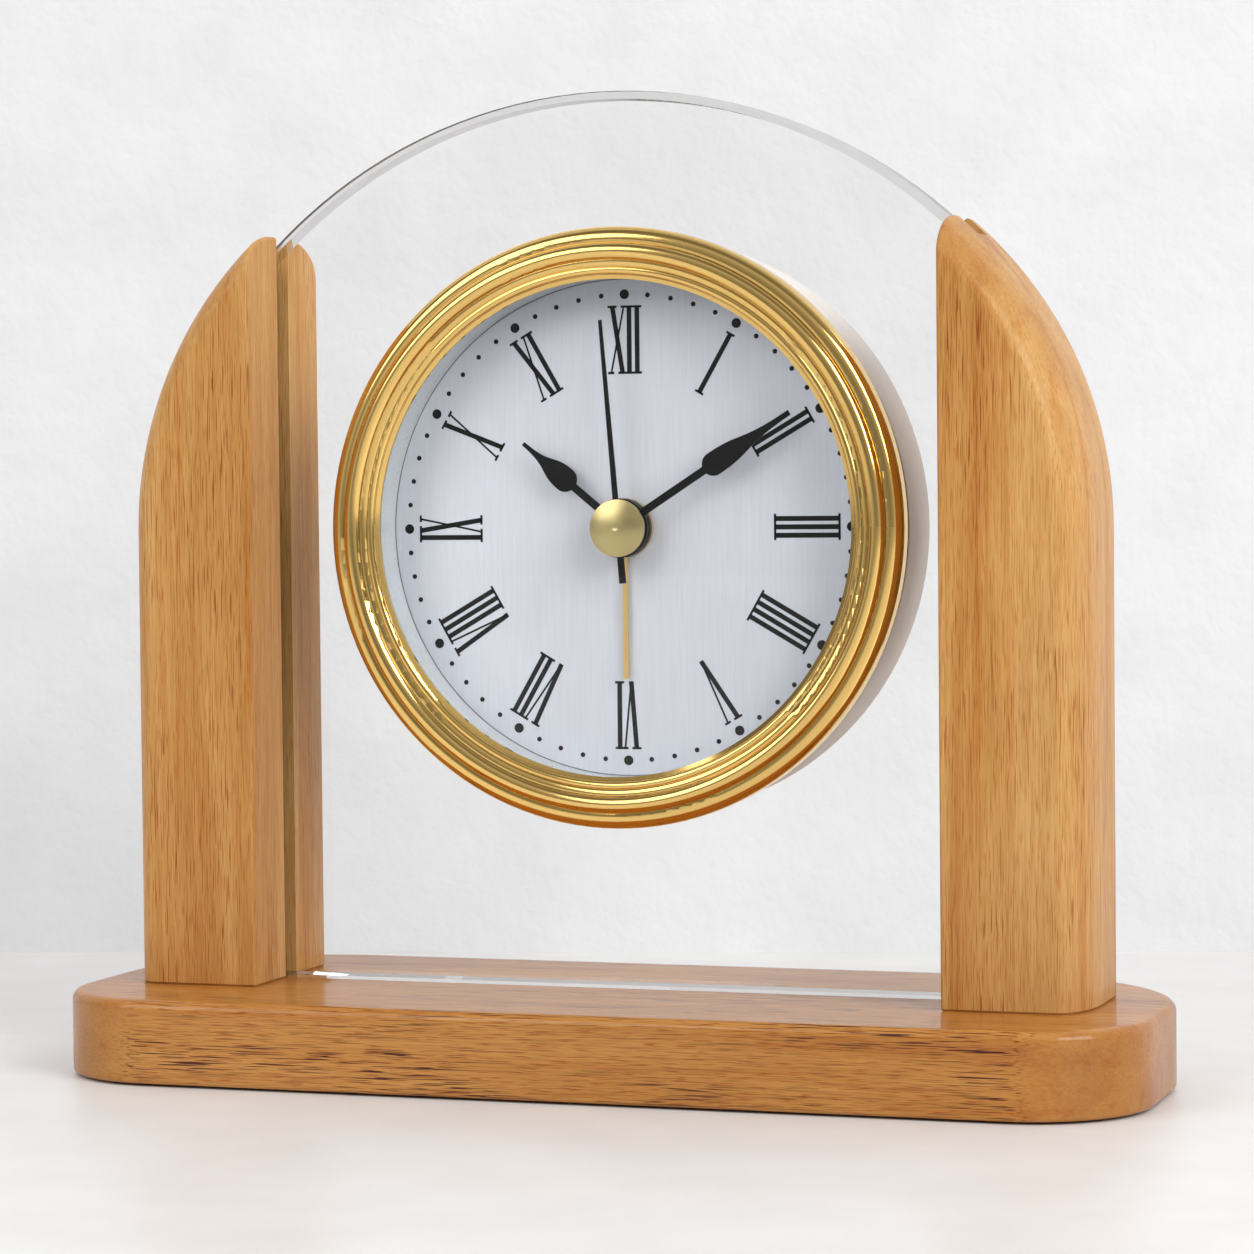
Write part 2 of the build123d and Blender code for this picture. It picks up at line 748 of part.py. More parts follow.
# Circuit board with its crystal
board_back = board_front + board_thickness
with BuildPart() as circuit_board:
    slab(board_width, board_height, board_front, board_back, centre=board_centre)
save(circuit_board, "circuit_board")
with BuildPart() as quartz_crystal:
    with Locations(place(board_centre[0], board_centre[1], board_back + crystal_radius)):
        Cylinder(crystal_radius, crystal_length)
save(quartz_crystal, "quartz_crystal")

# Motor: stator with its pole bore, and the coil on its core
stator_bottom = rotor_centre[1] - stator_pole_height
stator_bore = rotor_magnet_radius + stator_bore_play
with BuildPart() as stator:
    with BuildSketch(face_plane(stator_back)):
        with Locations((0, rotor_centre[1])):
            Rectangle(2 * stator_half_width, 2 * stator_pole_height)
            Circle(stator_bore, mode=Mode.SUBTRACT)
        for arm_side in (-1, 1):
            with Locations((arm_side * (stator_half_width - stator_arm_width / 2), stator_bottom)):
                Rectangle(stator_arm_width, stator_top - stator_bottom, align=(Align.CENTER, Align.MIN))
        with Locations((0, coil_v)):
            Rectangle(2 * stator_half_width, core_height)
    extrude(amount=stator_thickness)
save(stator, "stator")
coil_length = 2 * (stator_half_width - stator_arm_width)
stator_middle = (stator_front + stator_back) / 2
with BuildPart() as coil:
    with Locations(place(0, coil_v, stator_middle)):
        Cylinder(coil_radius, coil_length, rotation=(0, 90, 0))
    slab(coil_length, core_height, stator_front, stator_back, centre=(0, coil_v), mode=Mode.SUBTRACT)
save(coil, "coil")

# Run train, from the rotor to the centre wheel
second_phase = 0.0
step_pinion_phase = mesh_phase(second_wheel_teeth, second_phase, step_pinion_teeth, step_angle)
step_wheel_phase = 0.0
rotor_phase = mesh_phase(step_wheel_teeth, step_wheel_phase, rotor_pinion_teeth, 90.0)
third_wheel_phase = mesh_phase(second_pinion_teeth, second_phase, third_wheel_teeth, third_angle)
centre_phase = 0.0
third_pinion_phase = mesh_phase(centre_wheel_teeth, centre_phase, third_pinion_teeth, third_angle)
second_wheel_back = second_wheel_front + thin_wheel_thickness
third_wheel_back = third_wheel_front + thin_wheel_thickness
step_wheel_back = step_wheel_front + thin_wheel_thickness
centre_wheel_back = centre_wheel_front + wheel_thickness
with BuildPart() as rotor:
    disc(fine_arbor_radius, floor_front, bridge_back, centre=rotor_centre)
    magnet_front = stator_middle - rotor_magnet_length / 2
    magnet_back = stator_middle + rotor_magnet_length / 2
    disc(rotor_magnet_radius, magnet_front, magnet_back, centre=rotor_centre)
    gear(
        rotor_pinion_teeth,
        rotor_module,
        rotor_phase,
        step_wheel_front - pinion_overhang,
        step_wheel_back + pinion_overhang,
        centre=rotor_centre,
    )
save(rotor, "rotor")
with BuildPart() as step_wheel:
    disc(fine_arbor_radius, floor_front, bridge_back, centre=step_centre)
    gear(
        step_wheel_teeth,
        rotor_module,
        step_wheel_phase,
        step_wheel_front,
        step_wheel_back,
        centre=step_centre,
    )
    gear(
        step_pinion_teeth,
        second_module,
        step_pinion_phase,
        second_wheel_front - pinion_overhang,
        step_wheel_front,
        centre=step_centre,
    )
save(step_wheel, "step_wheel")
with BuildPart() as second_wheel:
    disc(second_arbor_radius, second_hand_front, bridge_back)
    gear(second_wheel_teeth, second_module, second_phase, second_wheel_front, second_wheel_back)
    gear(
        second_pinion_teeth,
        third_module,
        second_phase,
        third_wheel_front - pinion_overhang,
        second_wheel_front,
    )
save(second_wheel, "second_wheel")
with BuildPart() as third_wheel:
    disc(fine_arbor_radius, floor_front, bridge_back, centre=third_centre)
    gear(
        third_wheel_teeth,
        third_module,
        third_wheel_phase,
        third_wheel_front,
        third_wheel_back,
        centre=third_centre,
    )
    gear(
        third_pinion_teeth,
        centre_module,
        third_pinion_phase,
        centre_wheel_front - pinion_overhang,
        third_wheel_front,
        centre=third_centre,
    )
save(third_wheel, "third_wheel")
with BuildPart() as centre_wheel:
    gear(centre_wheel_teeth, centre_module, centre_phase, centre_wheel_front, centre_wheel_back)
    disc(
        minute_pipe_outer + running_play,
        centre_wheel_front,
        centre_wheel_back,
        mode=Mode.SUBTRACT,
    )
save(centre_wheel, "centre_wheel")

# Set train: minute pipe, slip clutch, motion wheel, hour wheel and alarm wheel
cannon_phase = 0.0
motion_wheel_phase = mesh_phase(cannon_teeth, cannon_phase, motion_wheel_teeth, motion_angle)
hour_phase = 0.0
motion_pinion_phase = mesh_phase(hour_wheel_teeth, hour_phase, motion_pinion_teeth, motion_angle)
alarm_phase = 0.0
alarm_pinion_phase = mesh_phase(alarm_wheel_teeth, alarm_phase, alarm_pinion_teeth, alarm_angle)
with BuildPart() as minute_pipe:
    disc(minute_pipe_outer, minute_hub_front, centre_wheel_back)
    gear(cannon_teeth, cannon_module, cannon_phase, cannon_front, cannon_back)
    disc(minute_pipe_inner, minute_hub_front, centre_wheel_back, mode=Mode.SUBTRACT)
save(minute_pipe, "minute_pipe")
with BuildPart() as clutch_spring:
    ring(minute_pipe_outer, clutch_radius, cannon_back, cannon_back + clutch_thickness)
save(clutch_spring, "clutch_spring")
with BuildPart() as motion_wheel:
    disc(motion_arbor_radius, floor_front, case_back + knob_gap + knob_height, centre=motion_centre)
    gear(
        motion_pinion_teeth,
        hour_module,
        motion_pinion_phase,
        hour_wheel_front - pinion_overhang,
        motion_wheel_front,
        centre=motion_centre,
    )
    gear(
        motion_wheel_teeth,
        cannon_module,
        motion_wheel_phase,
        motion_wheel_front,
        motion_wheel_front + wheel_thickness,
        centre=motion_centre,
    )
save(motion_wheel, "motion_wheel")
with BuildPart() as hour_wheel:
    disc(hour_pipe_outer, hour_hub_front, hour_wheel_front)
    gear(hour_wheel_teeth, hour_module, hour_phase, hour_wheel_front, hour_wheel_front + wheel_thickness)
    disc(hour_pipe_inner, hour_hub_front, hour_wheel_front + wheel_thickness, mode=Mode.SUBTRACT)
save(hour_wheel, "hour_wheel")
with BuildPart() as alarm_wheel:
    disc(alarm_pipe_outer, alarm_hub_front, alarm_wheel_front)
    gear(alarm_wheel_teeth, alarm_module, alarm_phase, alarm_wheel_front, alarm_wheel_front + wheel_thickness)
    disc(alarm_pipe_inner, alarm_hub_front, alarm_wheel_front + wheel_thickness, mode=Mode.SUBTRACT)
save(alarm_wheel, "alarm_wheel")


def grip_knob(centre):
    # Knob with a row of finger grooves round its rim
    knob_front = case_back + knob_gap
    knob_back = knob_front + knob_height
    with BuildSketch(face_plane(knob_back)) as outline:
        with Locations(centre):
            Circle(knob_radius)
            with PolarLocations(knob_radius, knob_grooves):
                Circle(knob_groove_radius, mode=Mode.SUBTRACT)
    extrude(outline.sketch, amount=knob_height)


with BuildPart() as time_knob:
    grip_knob(motion_centre)
    disc(
        motion_arbor_radius,
        case_back + knob_gap,
        case_back + knob_gap + knob_height,
        centre=motion_centre,
        mode=Mode.SUBTRACT,
    )
save(time_knob, "time_knob")
with BuildPart() as alarm_knob:
    grip_knob(alarm_centre)
    disc(alarm_arbor_radius, floor_front, case_back + knob_gap, centre=alarm_centre)
    gear(
        alarm_pinion_teeth,
        alarm_module,
        alarm_pinion_phase,
        alarm_wheel_front - pinion_overhang,
        alarm_wheel_front + wheel_thickness + pinion_overhang,
        centre=alarm_centre,
    )
save(alarm_knob, "alarm_knob")


def hand_plane(depth, angle):
    # Dial plane turned clockwise, so that a hand drawn upright points at its angle
    turned = (cos(radians(angle)), 0, -sin(radians(angle)))
    return Plane(origin=(clock_x, glass_front + depth, clock_height), x_dir=turned, z_dir=(0, -1, 0))


def bulb_blade(length, bulb_at, bulb_radius, stem_width, tip_width):
    # Stem, round bulb and a point that draws in along a hollow curve
    reach = length - bulb_at
    swell = bulb_at + blade_swell * reach
    draw = bulb_at + blade_draw * reach
    half_tip = tip_width / 2
    with Locations((0, bulb_at / 2)):
        Rectangle(stem_width, bulb_at)
    with Locations((0, bulb_at)):
        Circle(bulb_radius)
    with BuildLine() as point:
        Bezier((bulb_radius, bulb_at), (bulb_radius, swell), (half_tip, draw), (half_tip, length))
        Line((half_tip, length), (-half_tip, length))
        Bezier((-half_tip, length), (-half_tip, draw), (-bulb_radius, swell), (-bulb_radius, bulb_at))
        Line((-bulb_radius, bulb_at), (bulb_radius, bulb_at))
    make_face(point.edges())


# Hands and the cap on the axis
with BuildPart() as alarm_hand:
    disc(hub_radius, alarm_hub_front, alarm_hub_front + hub_thickness)
    with BuildSketch(hand_plane(alarm_hub_front + hub_thickness, alarm_hand_angle)):
        Rectangle(alarm_hand_width, alarm_hand_length, align=(Align.CENTER, Align.MIN))
    extrude(amount=blade_thickness)
    disc(alarm_pipe_outer, alarm_hub_front, alarm_hub_front + hub_thickness, mode=Mode.SUBTRACT)
save(alarm_hand, "alarm_hand")
with BuildPart() as hour_hand:
    disc(hub_radius, hour_hub_front, hour_hub_front + hub_thickness)
    with BuildSketch(hand_plane(hour_hub_front + blade_thickness, hour_hand_angle)):
        bulb_blade(hour_hand_length, hour_bulb_at, hour_bulb_radius, hour_stem_width, hour_tip_width)
    extrude(amount=blade_thickness)
    disc(hour_pipe_outer, hour_hub_front, hour_hub_front + hub_thickness, mode=Mode.SUBTRACT)
save(hour_hand, "hour_hand")
with BuildPart() as minute_hand:
    disc(hub_radius, minute_hub_front, minute_hub_front + hub_thickness)
    with BuildSketch(hand_plane(minute_hub_front + blade_thickness, minute_hand_angle)):
        bulb_blade(
            minute_hand_length,
            minute_bulb_at,
            minute_bulb_radius,
            minute_stem_width,
            minute_tip_width,
        )
    extrude(amount=blade_thickness)
    disc(minute_pipe_outer, minute_hub_front, minute_hub_front + hub_thickness, mode=Mode.SUBTRACT)
save(minute_hand, "minute_hand")
with BuildPart() as second_hand:
    disc(second_hub_radius, second_hand_front, second_hand_back)
    with BuildSketch(hand_plane(second_hand_back, second_hand_angle)):
        with BuildLine():
            Polyline(
                (-second_tail_width / 2, -second_hand_tail),
                (second_tail_width / 2, -second_hand_tail),
                (second_tip_width / 2, second_hand_length),
                (-second_tip_width / 2, second_hand_length),
                close=True,
            )
        make_face()
    extrude(amount=blade_thickness)
    disc(second_arbor_radius, second_hand_front, second_hand_back, mode=Mode.SUBTRACT)
save(second_hand, "second_hand")
with BuildPart() as centre_cap:
    with BuildSketch(section_plane):
        with BuildLine():
            rim = Polyline((0, cap_front), (0, second_hand_front), (cap_radius, second_hand_front),
                           (cap_radius, second_hand_front - cap_rim))
            dome_sag = cap_height - cap_rim
            dome_radius = (cap_radius ** 2 + dome_sag ** 2) / (2 * dome_sag)
            RadiusArc(rim @ 1, rim @ 0, dome_radius)
        make_face()
    revolve(axis=clock_axis)
save(centre_cap, "centre_cap")
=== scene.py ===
import math

import bpy
from mathutils import Matrix, Vector


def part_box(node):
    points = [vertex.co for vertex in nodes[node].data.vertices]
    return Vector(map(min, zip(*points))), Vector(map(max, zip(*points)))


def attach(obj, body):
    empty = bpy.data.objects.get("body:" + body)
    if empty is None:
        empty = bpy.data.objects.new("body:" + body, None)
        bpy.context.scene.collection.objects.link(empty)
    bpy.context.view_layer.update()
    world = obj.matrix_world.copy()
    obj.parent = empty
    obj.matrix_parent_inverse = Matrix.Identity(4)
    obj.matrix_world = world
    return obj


# Wooden desk clock: looks, dial print, stage, light and camera. Lengths are in metres.
MM = 0.001

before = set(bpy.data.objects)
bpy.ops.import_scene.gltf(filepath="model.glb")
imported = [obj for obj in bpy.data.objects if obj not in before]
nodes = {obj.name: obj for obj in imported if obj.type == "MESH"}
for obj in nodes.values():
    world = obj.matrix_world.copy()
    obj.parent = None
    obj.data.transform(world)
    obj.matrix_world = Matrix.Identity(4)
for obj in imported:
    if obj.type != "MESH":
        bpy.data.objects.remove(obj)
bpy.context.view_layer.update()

# Sizes read from the CAD frame
dial_low, dial_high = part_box("dial")
dial_x = (dial_low[0] + dial_high[0]) / 2
dial_z = (dial_low[2] + dial_high[2]) / 2
dial_front = dial_low[1]

# Dial print
print_lift = 0.02 * MM
numeral_inner = 23.4 * MM
numeral_outer = 33.8 * MM
thick_stroke = 0.76 * MM
thin_stroke = 0.3 * MM
serif_height = 0.36 * MM
serif_overhang = 0.36 * MM
bar_pitch = 1.26 * MM
cross_width = 2.4 * MM
vee_width = 2.4 * MM
glyph_gap = 0.3 * MM
dot_circle = 35.5 * MM
hour_dot_radius = 0.75 * MM
minute_dot_radius = 0.38 * MM
edge_line_width = 0.16 * MM
dot_sides = 28
edge_sides = 180

# Turn of the grain noise after stretching, so that its cells don't line up in rows
grain_turn = (0.5, 0.6, 0.7)

# Reach within which painted shade darkens the wood inside a groove
wood_groove_shade_reach = 5 * MM

# Colour sockets of a Mix node
mix_first = 6
mix_second = 7
mix_result = 2

# Stage
wall_distance = 151 * MM
wall_turn = 14.0
stage_half = 3.0

# Middle of the clock, which the lamps aim at
light_aim = Vector((0, 0, 80)) * MM

# Strength of the light from the room
room_strength = 0.82

# Camera, fitted to the photograph
camera_spot = Vector((188.41, -558.66, 89.92)) * MM
camera_turn = 18.559
camera_tilt = 2.132
camera_roll = -0.547
focal_per_width = 3885.7 / 1254
sensor_width = 36.0


def srgb(red, green, blue):
    # Linear colour of an 8-bit screen colour
    values = []
    for part in (red, green, blue):
        share = part / 255
        values.append(share / 12.92 if share <= 0.04045 else ((share + 0.055) / 1.055) ** 2.4)
    return (values[0], values[1], values[2], 1.0)


# Materials: node helpers

def new_material(name):
    material = bpy.data.materials.new(name)
    material.use_nodes = True
    return material, material.node_tree, material.node_tree.nodes["Principled BSDF"]


def add(tree, kind, **settings):
    node = tree.nodes.new(kind)
    for key, value in settings.items():
        setattr(node, key, value)
    return node


def grey(level):
    return (level, level, level, 1.0)


def stretched(tree, scale=(1.0, 1.0, 1.0), turn=(0.0, 0.0, 0.0)):
    # Object coordinates, scaled per axis and then turned
    coordinates = add(tree, "ShaderNodeTexCoord")
    mapping = add(tree, "ShaderNodeMapping")
    mapping.inputs["Scale"].default_value = scale
    mapping.inputs["Rotation"].default_value = turn
    tree.links.new(coordinates.outputs["Object"], mapping.inputs["Vector"])
    return mapping.outputs["Vector"]


def noise(tree, vector, scale, detail=2.0, roughness=0.5, distortion=0.0):
    node = add(tree, "ShaderNodeTexNoise")
    node.inputs["Scale"].default_value = scale
    node.inputs["Detail"].default_value = detail
    node.inputs["Roughness"].default_value = roughness
    node.inputs["Distortion"].default_value = distortion
    tree.links.new(vector, node.inputs["Vector"])
    return node.outputs["Fac"]


def ramp(tree, value, stops):
    node = add(tree, "ShaderNodeValToRGB")
    elements = node.color_ramp.elements
    while len(elements) < len(stops):
        elements.new(0.5)
    for element, (position, color) in zip(elements, stops):
        element.position = position
        element.color = color
    tree.links.new(value, node.inputs["Fac"])
    return node.outputs["Color"]


def multiply(tree, first, second, share=None):
    # First times second, in full or by the given share
    node = add(tree, "ShaderNodeMix", data_type="RGBA", blend_type="MULTIPLY")
    node.inputs["Factor"].default_value = 1.0
    if share:
        tree.links.new(share, node.inputs["Factor"])
    tree.links.new(first, node.inputs[mix_first])
    tree.links.new(second, node.inputs[mix_second])
    return node.outputs[mix_result]


def bump(tree, shader, height, strength, distance):
    node = add(tree, "ShaderNodeBump")
    node.inputs["Strength"].default_value = strength
    node.inputs["Distance"].default_value = distance
    tree.links.new(height, node.inputs["Height"])
    tree.links.new(node.outputs["Normal"], shader.inputs["Normal"])


def let_through(tree, shader, share, color):
    # Rays pass straight on, tinted by the colour, by the given share
    clear = add(tree, "ShaderNodeBsdfTransparent")
    clear.inputs["Color"].default_value = color
    choice = add(tree, "ShaderNodeMixShader")
    tree.links.new(share, choice.inputs["Fac"])
    tree.links.new(shader.outputs["BSDF"], choice.inputs[1])
    tree.links.new(clear.outputs["BSDF"], choice.inputs[2])
    tree.links.new(choice.outputs["Shader"], tree.nodes["Material Output"].inputs["Surface"])


def painted_groove_shade(tree, reach):
    # Painted shade: white where the surface lies open, dark in grooves up to the given reach
    groove_occlusion = add(tree, "ShaderNodeAmbientOcclusion", samples=8, only_local=True)
    groove_occlusion.inputs["Distance"].default_value = reach
    return ramp(tree, groove_occlusion.outputs["AO"], ((0.45, grey(0.3)), (0.9, grey(1.0))))


def scaled(color, factor):
    return (color[0] * factor, color[1] * factor, color[2] * factor, 1.0)


def stained(color, tint):
    return (color[0] * tint[0], color[1] * tint[1], color[2] * tint[2], 1.0)


# Materials: finishes

def wood(name, along, tint, coat, pore_color, pore_edge, dash_color, dash_edge, end_color):
    # Lacquered wood whose grain runs along the given axis, stained by the tint
    material, tree, shader = new_material(name)

    def drawn(along_scale):
        # Coordinates drawn out along the grain
        scale = [1.0, 1.0, 1.0]
        scale[along] = along_scale
        return stretched(tree, scale, grain_turn)

    surface = add(tree, "ShaderNodeNewGeometry")
    facing = add(tree, "ShaderNodeSeparateXYZ")
    tree.links.new(surface.outputs["Normal"], facing.inputs["Vector"])
    cut_across = add(tree, "ShaderNodeMath", operation="ABSOLUTE")
    tree.links.new(facing.outputs[along], cut_across.inputs[0])
    side_grain = ramp(tree, cut_across.outputs["Value"], ((0.05, grey(1.0)), (0.24, grey(0.06))))
    end_mask = ramp(tree, cut_across.outputs["Value"], ((0.12, grey(1.0)), (0.6, end_color)))
    bands = noise(tree, drawn(0.06), scale=110.0, detail=4.0, roughness=0.6, distortion=0.6)
    tone = ramp(tree, bands, (
        (0.30, stained(srgb(190, 128, 62), tint)),
        (0.46, stained(srgb(209, 155, 88), tint)),
        (0.60, stained(srgb(217, 167, 102), tint)),
        (0.74, stained(srgb(201, 141, 74), tint)),
    ))
    fibres = noise(tree, drawn(0.02), scale=3600.0, detail=3.0, roughness=0.6)
    fibre_tone = ramp(tree, fibres, ((0.32, srgb(236, 228, 214)), (0.62, grey(1.0))))
    pores = noise(tree, drawn(0.04), scale=7600.0, detail=0.0)
    pore_mask = ramp(tree, pores, ((pore_edge, grey(1.0)), (pore_edge + 0.1, pore_color)))
    dashes = noise(tree, drawn(0.024), scale=6400.0, detail=0.0)
    dash_mask = ramp(tree, dashes, ((dash_edge, grey(1.0)), (dash_edge + 0.06, dash_color)))
    clusters = noise(tree, drawn(0.2), scale=130.0, detail=1.0)
    cluster_share = ramp(tree, clusters, ((0.46, grey(0.3)), (0.58, grey(1.0))))
    dash_share = multiply(tree, side_grain, cluster_share)
    rings = noise(tree, drawn(0.03), scale=420.0, detail=2.0, roughness=0.5)
    ring_mask = ramp(tree, rings, ((0.58, grey(1.0)), (0.70, srgb(244, 228, 206))))
    patches = noise(tree, drawn(0.3), scale=30.0, detail=2.0)
    patch_mask = ramp(tree, patches, ((0.35, grey(0.9)), (0.65, grey(1.0))))
    colored = multiply(tree, tone, fibre_tone)
    colored = multiply(tree, colored, pore_mask, side_grain)
    colored = multiply(tree, colored, dash_mask, dash_share)
    # Grain marks, then painted shade in the groove of the wood
    for mask in (ring_mask, patch_mask, end_mask, painted_groove_shade(tree, wood_groove_shade_reach)):
        colored = multiply(tree, colored, mask)
    tree.links.new(colored, shader.inputs["Base Color"])
    sheen = ramp(tree, fibres, ((0.3, grey(0.5)), (0.7, grey(0.4))))
    tree.links.new(sheen, shader.inputs["Roughness"])
    shader.inputs["Specular IOR Level"].default_value = 0.14
    shader.inputs["Coat Weight"].default_value = coat
    shader.inputs["Coat Roughness"].default_value = 0.12
    bump(tree, shader, pore_mask, strength=0.25, distance=0.05 * MM)
    return material


def glass(name, color, edge_color, ior):
    # Clear glass with greyer edges and a trace of polish marks; lamps shine through it
    material, tree, shader = new_material(name)
    surface = add(tree, "ShaderNodeNewGeometry")
    facing = add(tree, "ShaderNodeSeparateXYZ")
    tree.links.new(surface.outputs["Normal"], facing.inputs["Vector"])
    flatness = add(tree, "ShaderNodeMath", operation="ABSOLUTE")
    tree.links.new(facing.outputs["Y"], flatness.inputs[0])
    tint = ramp(tree, flatness.outputs["Value"], ((0.75, edge_color), (0.98, color)))
    tree.links.new(tint, shader.inputs["Base Color"])
    shader.inputs["IOR"].default_value = ior
    shader.inputs["Transmission Weight"].default_value = 1.0
    marks = noise(tree, stretched(tree), scale=45.0, detail=2.0)
    polish = ramp(tree, marks, ((0.4, grey(0.0)), (0.9, grey(0.03))))
    tree.links.new(polish, shader.inputs["Roughness"])
    path = add(tree, "ShaderNodeLightPath")
    let_through(tree, shader, path.outputs["Is Shadow Ray"], color)
    return material


def metal(name, color, roughness, wear=1.6, brushed=(1.0, 1.0, 1.0), groove_shade_reach=None):
    # Metal with handling marks that dull it in places, and painted shade that darkens its grooves up to the
    # given reach
    material, tree, shader = new_material(name)
    shader.inputs["Metallic"].default_value = 1.0
    marks = noise(tree, stretched(tree, brushed), scale=700.0, detail=4.0, roughness=0.65)
    spread = ramp(tree, marks, ((0.35, grey(roughness)), (0.75, grey(roughness * wear))))
    tree.links.new(spread, shader.inputs["Roughness"])
    tarnish = noise(tree, stretched(tree), scale=60.0, detail=3.0)
    tone = ramp(tree, tarnish, ((0.3, scaled(color, 0.93)), (0.65, color)))
    if groove_shade_reach:
        # Painted shade in the grooves
        tone = multiply(tree, tone, painted_groove_shade(tree, groove_shade_reach))
    tree.links.new(tone, shader.inputs["Base Color"])
    return material


def moulded(name, color, roughness, grain=0.02 * MM, grain_scale=2600.0, specular=0.5):
    # Moulded plastic with a fine skin and a slight unevenness of tone
    material, tree, shader = new_material(name)
    shader.inputs["Specular IOR Level"].default_value = specular
    clouds = noise(tree, stretched(tree), scale=55.0, detail=3.0)
    tone = ramp(tree, clouds, ((0.3, scaled(color, 0.94)), (0.7, color)))
    tree.links.new(tone, shader.inputs["Base Color"])
    skin = noise(tree, stretched(tree), scale=grain_scale)
    gloss = ramp(tree, skin, ((0.3, grey(roughness * 0.88)), (0.7, grey(roughness * 1.1))))
    tree.links.new(gloss, shader.inputs["Roughness"])
    bump(tree, shader, skin, strength=0.4, distance=grain)
    return material


def felt_cloth(name, color):
    material, tree, shader = new_material(name)
    fibres = noise(tree, stretched(tree), scale=3200.0, detail=4.0, roughness=0.7, distortion=1.2)
    tone = ramp(tree, fibres, ((0.3, scaled(color, 0.6)), (0.7, color)))
    tree.links.new(tone, shader.inputs["Base Color"])
    shader.inputs["Roughness"].default_value = 0.95
    shader.inputs["Sheen Weight"].default_value = 0.4
    bump(tree, shader, fibres, strength=0.8, distance=0.15 * MM)
    return material


def wound_wire(name, color, pitch):
    # Copper winding: fine turns side by side along X, with painted shade in the dark lines between the
    # turns
    material, tree, shader = new_material(name)
    turns = add(tree, "ShaderNodeTexWave", wave_type="BANDS", bands_direction="X", wave_profile="SIN")
    turns.inputs["Scale"].default_value = 1 / (pitch * 20)
    tree.links.new(stretched(tree), turns.inputs["Vector"])
    # Painted shade darkens the colour between the turns
    tone = ramp(tree, turns.outputs["Fac"], ((0.0, scaled(color, 0.35)), (0.5, color)))
    tree.links.new(tone, shader.inputs["Base Color"])
    shader.inputs["Metallic"].default_value = 1.0
    shader.inputs["Roughness"].default_value = 0.34
    bump(tree, shader, turns.outputs["Fac"], strength=0.6, distance=0.1 * MM)
    return material


def brushed_dial(name):
    # Pale silver dial with fine upright brush strokes
    material, tree, shader = new_material(name)
    strokes = noise(tree, stretched(tree, (1.0, 1.0, 0.03)), scale=2600.0, detail=2.0, roughness=0.6)
    stroke_tone = ramp(tree, strokes, ((0.3, grey(0.93)), (0.7, grey(1.0))))
    clouds = noise(tree, stretched(tree), scale=26.0, detail=3.0)
    cloud_tone = ramp(tree, clouds, ((0.3, srgb(197, 200, 208)), (0.7, srgb(208, 211, 219))))
    tree.links.new(multiply(tree, cloud_tone, stroke_tone), shader.inputs["Base Color"])
    shader.inputs["Metallic"].default_value = 0.08
    gloss = ramp(tree, strokes, ((0.3, grey(0.5)), (0.7, grey(0.4))))
    tree.links.new(gloss, shader.inputs["Roughness"])
    return material


def circuit_green(name):
    # Solder mask over straight copper tracks
    material, tree, shader = new_material(name)
    tracks = add(tree, "ShaderNodeTexBrick")
    tracks.inputs["Scale"].default_value = 320.0
    tracks.inputs["Color1"].default_value = srgb(34, 88, 52)
    tracks.inputs["Color2"].default_value = srgb(40, 100, 58)
    tracks.inputs["Mortar"].default_value = srgb(66, 130, 78)
    tree.links.new(stretched(tree, (1.0, 1.0, 0.4)), tracks.inputs["Vector"])
    tree.links.new(tracks.outputs["Color"], shader.inputs["Base Color"])
    shader.inputs["Roughness"].default_value = 0.38
    return material


# Materials: which node gets which finish
wood_upright = wood(
    "wood_upright",
    along=2,
    tint=(0.99, 1.01, 1.06),
    coat=0.12,
    pore_color=srgb(237, 217, 191),
    pore_edge=0.60,
    dash_color=srgb(200, 154, 112),
    dash_edge=0.66,
    end_color=grey(0.98),
)
wood_flat = wood(
    "wood_flat",
    along=0,
    tint=(0.86, 0.72, 0.49),
    coat=0.5,
    pore_color=srgb(220, 186, 150),
    pore_edge=0.61,
    dash_color=srgb(108, 64, 42),
    dash_edge=0.6,
    end_color=(0.8, 0.74, 0.66, 1.0),
)
case_plastic = moulded("case_grey", srgb(240, 232, 226), roughness=0.5)
black_enamel = moulded("hand_black", srgb(5, 5, 6), roughness=0.34, grain=0.004 * MM, specular=0.15)
black_plastic = moulded("knob_black", srgb(27, 27, 29), roughness=0.46)
zinc = metal("zinc_screw", srgb(196, 196, 194), roughness=0.28)
steel = metal("spring_steel", srgb(200, 200, 202), roughness=0.26, brushed=(1.0, 1.0, 0.1))
acetal = moulded("gear_white", srgb(228, 224, 211), roughness=0.4)
set_white = moulded("set_train_white", srgb(222, 218, 206), roughness=0.42)
rubber = moulded("gasket_rubber", srgb(207, 203, 197), roughness=0.65)
# The bezel gets painted shade in the grooves between its beads
bezel_brass = metal(
    "bezel_brass",
    (0.86, 0.57, 0.185, 1.0),
    roughness=0.1,
    wear=1.25,
    groove_shade_reach=1.2 * MM,
)
